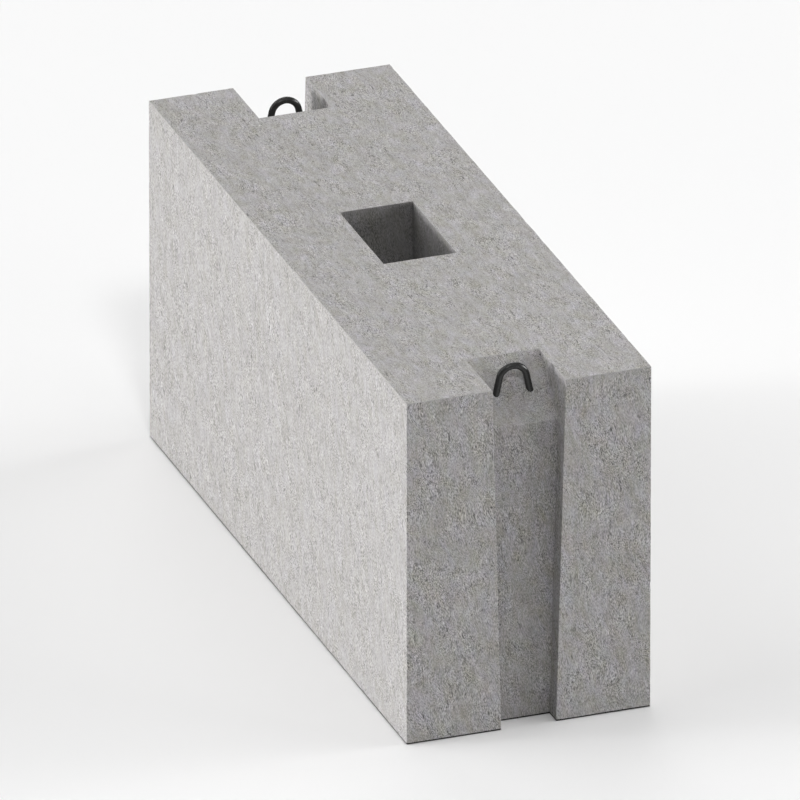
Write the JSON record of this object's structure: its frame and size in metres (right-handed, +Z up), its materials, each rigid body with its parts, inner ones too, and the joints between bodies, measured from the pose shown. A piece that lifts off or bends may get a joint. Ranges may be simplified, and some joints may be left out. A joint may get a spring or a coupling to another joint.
{
  "type": "concrete foundation wall block",
  "caption": "Cast concrete wall block with a rectangular core, tapered end keyways and cast-in steel lifting loops.",
  "frame": {"origin": "centre of the bed face, the face that the block stands on", "axes": "+X along the block, +Y across it, +Z up from the bed face"},
  "size_m": [1.18, 0.4, 0.5865],
  "materials": {
    "concrete": "matte",
    "loop_steel": "satin"
  },
  "bodies": {
    "root": {"block_body": "concrete", "lifting_loop_front": "loop_steel", "lifting_loop_back": "loop_steel"}
  },
  "joints": []
}
